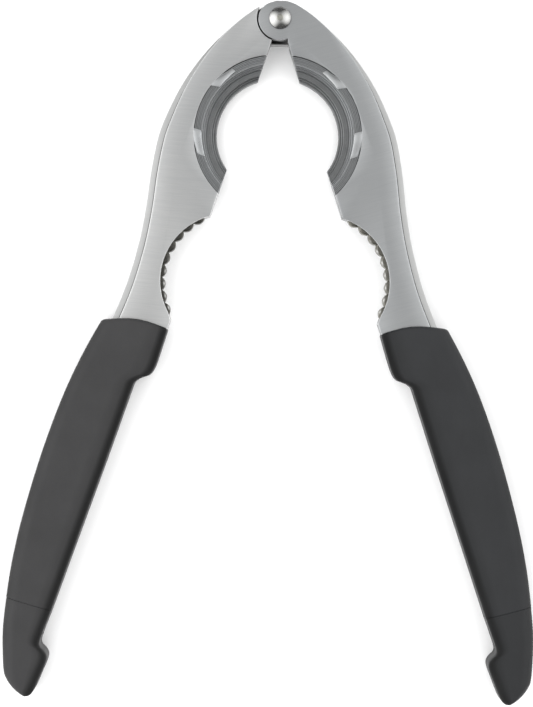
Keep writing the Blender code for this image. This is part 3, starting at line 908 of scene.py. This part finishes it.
class NUTCRACKER_OT_pivot(bpy.types.Operator):
    """Model the domed rivet and its washers"""

    bl_idname = "nutcracker.pivot"
    bl_label = "Pivot"

    def execute(self, context):
        space = Matrix.Translation(PIVOT) @ Matrix.Diagonal((MM, MM, MM, 1.0))
        chrome = polished_metal("polished_rivet", (0.80, 0.80, 0.78), 0.17)
        plate = cast_metal("plated_washer", (0.5, 0.51, 0.53), 0.32)
        dimple = cast_metal("rivet_dimple", (0.50, 0.50, 0.45), 0.42)
        # The foot metal is dark, painted shade on the dome's steep foot where it meets the arm
        foot = cast_metal("rivet_foot_shade", (0.24, 0.24, 0.25), 0.4)
        bm = turn_profile(rivet_profile(), 72)
        # Slots of the head: 0 is the dome, 1 its dimple and 2 its foot, painted dark as shade.
        for face in bm.faces:
            middle = face.calc_center_median()
            reach = middle.xy.length
            if middle.z > ARM_HALF:
                face.material_index = 1 if reach < RIVET_DIMPLE else 2 if reach > RIVET_FOOT else 0
        finish_piece("rivet", bm, space, (chrome, dimple, foot), "left_lever",
                     ("pivot_rivet",))
        rear = -ARM_HALF - 0.1
        washers = (("rear_burr_washer", 4.2, rear, 0.55, "rear_washer"),
                   ("lap_spacer", 4.8, 0.25, 0.5, "lap_washer"))
        for name, radius, high, thick, node in washers:
            low = high - thick
            soft = 0.12
            profile = [(radius - soft, high), (radius, high - soft), (radius, low + soft),
                       (radius - soft, low), (2.3, low), (2.3, high)]
            bm = turn_profile(profile, 64)
            finish_piece(name, bm, space, (plate,), "left_lever", (node,))
        return {"FINISHED"}


# ---------------------------------------------------------------- grips

def quarter(steps):
    """Return the sines and cosines of a quarter turn in even steps."""
    turns = [math.radians(90.0 * number / steps) for number in range(steps + 1)]
    return [(math.sin(turn), math.cos(turn)) for turn in turns]


def grip_section(inner, outer, inset, half, edges, arch):
    """Return one ring of points across a grip between two rail points."""
    start = Vector(inner)
    run = Vector(outer) - start
    width = max(run.length - 2.0 * inset, 0.05)
    run.normalize()
    inner_edge_width = min(edges[0], 0.42 * width)
    outer_edge_width = min(edges[1], 0.5 * width)
    inner_fall = min(1.7, half * 0.5)
    outer_fall = min(2.6, half * 0.5)
    profile = [(0.0, 0.0), (0.0, half * 0.45)]
    profile += [(inner_edge_width * (1.0 - cosine), half - inner_fall * (1.0 - sine))
                for sine, cosine in quarter(6)]
    profile += [(inner_edge_width + (width - inner_edge_width - outer_edge_width) * share, half)
                for share in (0.25, 0.5, 0.75)]
    profile += [(width - outer_edge_width * (1.0 - sine), half - outer_fall * (1.0 - cosine))
                for sine, cosine in quarter(9)]
    profile += [(width, half * 0.35)]
    places = []
    for across, z in profile + [(across, -z) for across, z in reversed(profile[1:])]:
        point = start + run * (across + inset)
        lift = arch * math.sin(math.pi * min(max(across / width, 0.0), 1.0))
        places.append((point.x, point.y - lift, z))
    return places


def edge_shade_marks():
    """Return how much painted shade and extra roughness each place of a grip section gets, from its
    middle round and back.
    """
    front = [0.0, 0.1, 0.55, 0.9, 1.0, 1.0, 0.9, 0.6, 0.25, 0.0, 0.0, 0.0,
             0.0, 0.0, 0.0, 0.05, 0.15, 0.3, 0.4, 0.45, 0.4, 0.3, 0.2]
    return front + front[:0:-1]


def rail_rows(front, back, start_v, end_v, shares):
    """Return matched rail points at the given shares of the way down."""
    inner_path = smooth(front, 10)
    outer_path = smooth(back, 10)
    rows = []
    for share in shares:
        inner_v = start_v[0] + (end_v[0] - start_v[0]) * share
        outer_v = start_v[1] + (end_v[1] - start_v[1]) * share
        rows.append(((height_at(inner_path, inner_v), inner_v),
                     (height_at(outer_path, outer_v), outer_v)))
    return rows


def rounding(distance, radius):
    """Return how far a rim rounded to a radius stands back at a distance."""
    if distance >= radius:
        return 0.0
    return radius - math.sqrt(max(radius ** 2 - (radius - distance) ** 2, 0.0))


def end_stations(length, first_radius, last_radius, pitch):
    """Return distances down a piece, close together at its rounded ends."""
    bends = [1.0 - cosine for _, cosine in quarter(5)]
    stations = {round(first_radius * bend, 4) for bend in bends}
    stations |= {round(length - last_radius * bend, 4) for bend in bends}
    steps = int(length / pitch)
    stations |= {round(first_radius + (length - first_radius - last_radius) * k / steps, 4)
              for k in range(steps + 1)}
    return sorted(stations)


def build_grip(side, grips):
    """Build one grip from its arched rim to the seam."""
    edges = (grips.inner_edge / MM, grips.outer_edge / MM)
    end_v = [v - grips.seam / MM / 2 for v in SEAM_ENDS]
    shift = RIM_SHIFT[side]
    length = end_v[0] - COLLAR_INNER[1]
    rim = 0.9
    lip = 0.1
    sections = []
    stations = end_stations(length, rim, lip, 0.9)
    rows = rail_rows(GRIP_FRONT, GRIP_BACK, (COLLAR_INNER[1], COLLAR_OUTER[1]), end_v,
                     [station / length for station in stations])
    for station, (inner, outer) in zip(stations, rows):
        inset = rounding(station, rim) + rounding(length - station, lip)
        arch = 1.25 * (1.0 - ease(station / 14.0))
        fade = 1.0 - ease(station / 30.0)
        inner = (inner[0], inner[1] + shift[0] * fade)
        outer = (outer[0], outer[1] + shift[1] * fade)
        sections.append(grip_section(inner, outer, inset, GRIP_HALF - inset, edges, arch))
    return loft(sections, edge_shade_marks())


def build_end_cap(grips):
    """Build one hooked end cap from the seam to the tip of the tail."""
    edges = (grips.inner_edge / MM, grips.outer_edge / MM)
    start_v = [v + grips.seam / MM / 2 for v in SEAM_ENDS]
    end_v = TAIL_BACK[-1][1] - 0.02
    length = end_v - start_v[0]
    lip = 0.1
    tip = 1.3
    stations = end_stations(length, lip, tip, 0.45)
    rows = rail_rows(((5.13, SEAM_V - 1.5),) + TAIL_FRONT, ((17.9, SEAM_V - 1.5),) + TAIL_BACK,
                     start_v, (end_v, end_v), [station / length for station in stations])
    sections = []
    for station, (inner, outer) in zip(stations, rows):
        lip_inset = rounding(station, lip)
        half = GRIP_HALF - lip_inset - 0.8 * rounding(length - station, tip)
        sections.append(grip_section(inner, outer, lip_inset, half, edges, 0.0))
    return loft(sections, edge_shade_marks())


class NUTCRACKER_OT_grips(bpy.types.Operator):
    """Model the soft grips and their hooked end caps"""

    bl_idname = "nutcracker.grips"
    bl_label = "Grips"

    def execute(self, context):
        grips = context.scene.nutcracker_grips
        steel = cast_metal("screw_plating", (0.5, 0.51, 0.53), 0.35)
        for side in (LEFT, RIGHT):
            word = SIDE_NAME[side]
            # The side's colour factors paint light and shade on the grip and its cap: the left
            # lighter, the right darker
            lit_tone = shade(grips.colour, *GRIP_LIT_TONE[side])
            soft = soft_plastic(word + "_grip_plastic", lit_tone, 0.56)
            tail = soft_plastic(word + "_cap_plastic", shade(lit_tone, CAP_LIT_TONE[side]), 0.52)
            finish_piece(word + "_soft_grip", build_grip(side, grips), arm_space(side), (soft,),
                         word + "_lever", (word + "_grip",))
            finish_piece(word + "_tail", build_end_cap(grips), arm_space(side), (tail,),
                         word + "_lever", (word + "_end_cap",))
            screw = frame["nodes"][word + "_cap_screw"]
            screw.data.materials.clear()
            screw.data.materials.append(steel)
        return {"FINISHED"}


# ---------------------------------------------------------------- stage

def add_softbox(name, place, aim, size, power):
    """Add one soft rectangular light that looks at a point."""
    lamp = bpy.data.lights.new(name, "AREA")
    lamp.shape = "RECTANGLE"
    lamp.size = size[0]
    lamp.size_y = size[1]
    lamp.energy = power
    item = bpy.data.objects.new(name, lamp)
    item.location = place
    item.visible_glossy = False
    item.rotation_euler = (Vector(aim) - Vector(place)).to_track_quat("-Z", "Y").to_euler()
    bpy.context.scene.collection.objects.link(item)


def light_room(world, strength):
    """Make the room bright to the left and right and dim to the front and back."""
    tree = Tree(world.node_tree)
    x, y, z = tree.split(tree.add("TexCoord").outputs["Generated"])
    rise = tree.math("MULTIPLY_ADD", x, z, 0.0)
    level = tree.math("MULTIPLY_ADD", y, 0.55, -0.20)
    level = tree.math("MULTIPLY_ADD", rise, 2.4, level)
    level = tree.math("MULTIPLY_ADD", level, x, 0.50)
    depth = tree.math("MULTIPLY_ADD", y, -0.85, 0.06)
    level = tree.math("MULTIPLY_ADD", depth, y, level)
    level = tree.math("MULTIPLY", level, strength)
    level = tree.math("MAXIMUM", level, 0.05)
    shiny = tree.add("LightPath").outputs["Is Glossy Ray"]
    level = tree.add("Mix", {"Factor": shiny, "A": 1.55, "B": level}).outputs["Result"]
    background = tree.nodes["Background"]
    background.inputs["Color"].default_value = (1.0, 1.0, 1.0, 1.0)
    tree.links.new(level, background.inputs["Strength"])


class NUTCRACKER_OT_stage(bpy.types.Operator):
    """Add the pale floor, the soft lights and the camera"""

    bl_idname = "nutcracker.stage"
    bl_label = "Stage"

    def execute(self, context):
        stage = context.scene.nutcracker_stage
        bm = bmesh.new()
        bmesh.ops.create_grid(bm, x_segments=1, y_segments=1, size=3.0)
        mesh = bpy.data.meshes.new("floor")
        bm.to_mesh(mesh)
        bm.free()
        floor = bpy.data.objects.new("floor", mesh)
        paper = Recipe("floor_paper", (0.93, 0.93, 0.93), 0.0, 0.9)
        paper.shader["Specular IOR Level"].default_value = 0.0
        cloud = paper.noise(paper.place, 14.0)
        paper.tint(cloud, (0.925, 0.925, 0.925), (0.935, 0.935, 0.935))
        mesh.materials.append(paper.material)
        context.scene.collection.objects.link(floor)

        world = bpy.data.worlds.new("room")
        world.use_nodes = True
        light_room(world, stage.sky)
        context.scene.world = world
        add_softbox("left_softbox", (-0.42, -0.10, 0.50), (-0.03, 0.0, 0.0), (0.35, 0.7), 1.2)
        add_softbox("right_softbox", (0.60, 0.10, 0.50), (0.0, 0.0, 0.0), (0.4, 0.8), 0.8)

        camera = bpy.data.cameras.new("camera")
        camera.lens = stage.lens
        camera.sensor_width = 36.0
        camera.clip_start = 0.05
        eye = bpy.data.objects.new("camera", camera)
        centre = Vector((-0.0019, -0.0009, PIVOT.z + ARM_HALF * MM))
        aside = Vector((-0.004, 0.003))
        eye.location = centre + Vector((*aside, stage.distance))
        turned = Matrix.Rotation(-stage.roll, 2) @ aside
        eye.rotation_euler = (-math.atan2(turned.y, stage.distance),
                              math.atan2(turned.x, stage.distance), stage.roll)
        context.scene.collection.objects.link(eye)
        context.scene.camera = eye
        context.scene.view_settings.view_transform = "Standard"
        return {"FINISHED"}


class NUTCRACKER_PT_panel(bpy.types.Panel):
    """Lists the steps that make the nutcracker"""

    bl_idname = "NUTCRACKER_PT_panel"
    bl_label = "Nutcracker"
    bl_space_type = "VIEW_3D"
    bl_region_type = "UI"
    bl_category = "Nutcracker"

    def draw(self, context):
        layout = self.layout
        for group in ("nutcracker_metal", "nutcracker_grips", "nutcracker_stage"):
            settings = getattr(context.scene, group)
            box = layout.box()
            for name in settings.__annotations__:
                box.prop(settings, name)
        for step in STEPS:
            layout.operator(step.bl_idname)


STEPS = (NUTCRACKER_OT_arms, NUTCRACKER_OT_jaws, NUTCRACKER_OT_pivot, NUTCRACKER_OT_grips,
         NUTCRACKER_OT_stage)
GROUPS = (
    ("nutcracker_metal", NUTCRACKER_PG_metal),
    ("nutcracker_grips", NUTCRACKER_PG_grips),
    ("nutcracker_stage", NUTCRACKER_PG_stage),
)


def register():
    """Register the settings, the steps and the panel."""
    for name, group in GROUPS:
        bpy.utils.register_class(group)
        setattr(bpy.types.Scene, name, PointerProperty(type=group))
    for step in STEPS:
        bpy.utils.register_class(step)
    bpy.utils.register_class(NUTCRACKER_PT_panel)


def unregister():
    """Remove everything that register added."""
    bpy.utils.unregister_class(NUTCRACKER_PT_panel)
    for step in reversed(STEPS):
        bpy.utils.unregister_class(step)
    for name, group in reversed(GROUPS):
        delattr(bpy.types.Scene, name)
        bpy.utils.unregister_class(group)


def main():
    """Run every step."""
    register()
    for step in STEPS:
        group, name = step.bl_idname.split(".")
        getattr(getattr(bpy.ops, group), name)()


if __name__ == "__main__":
    main()
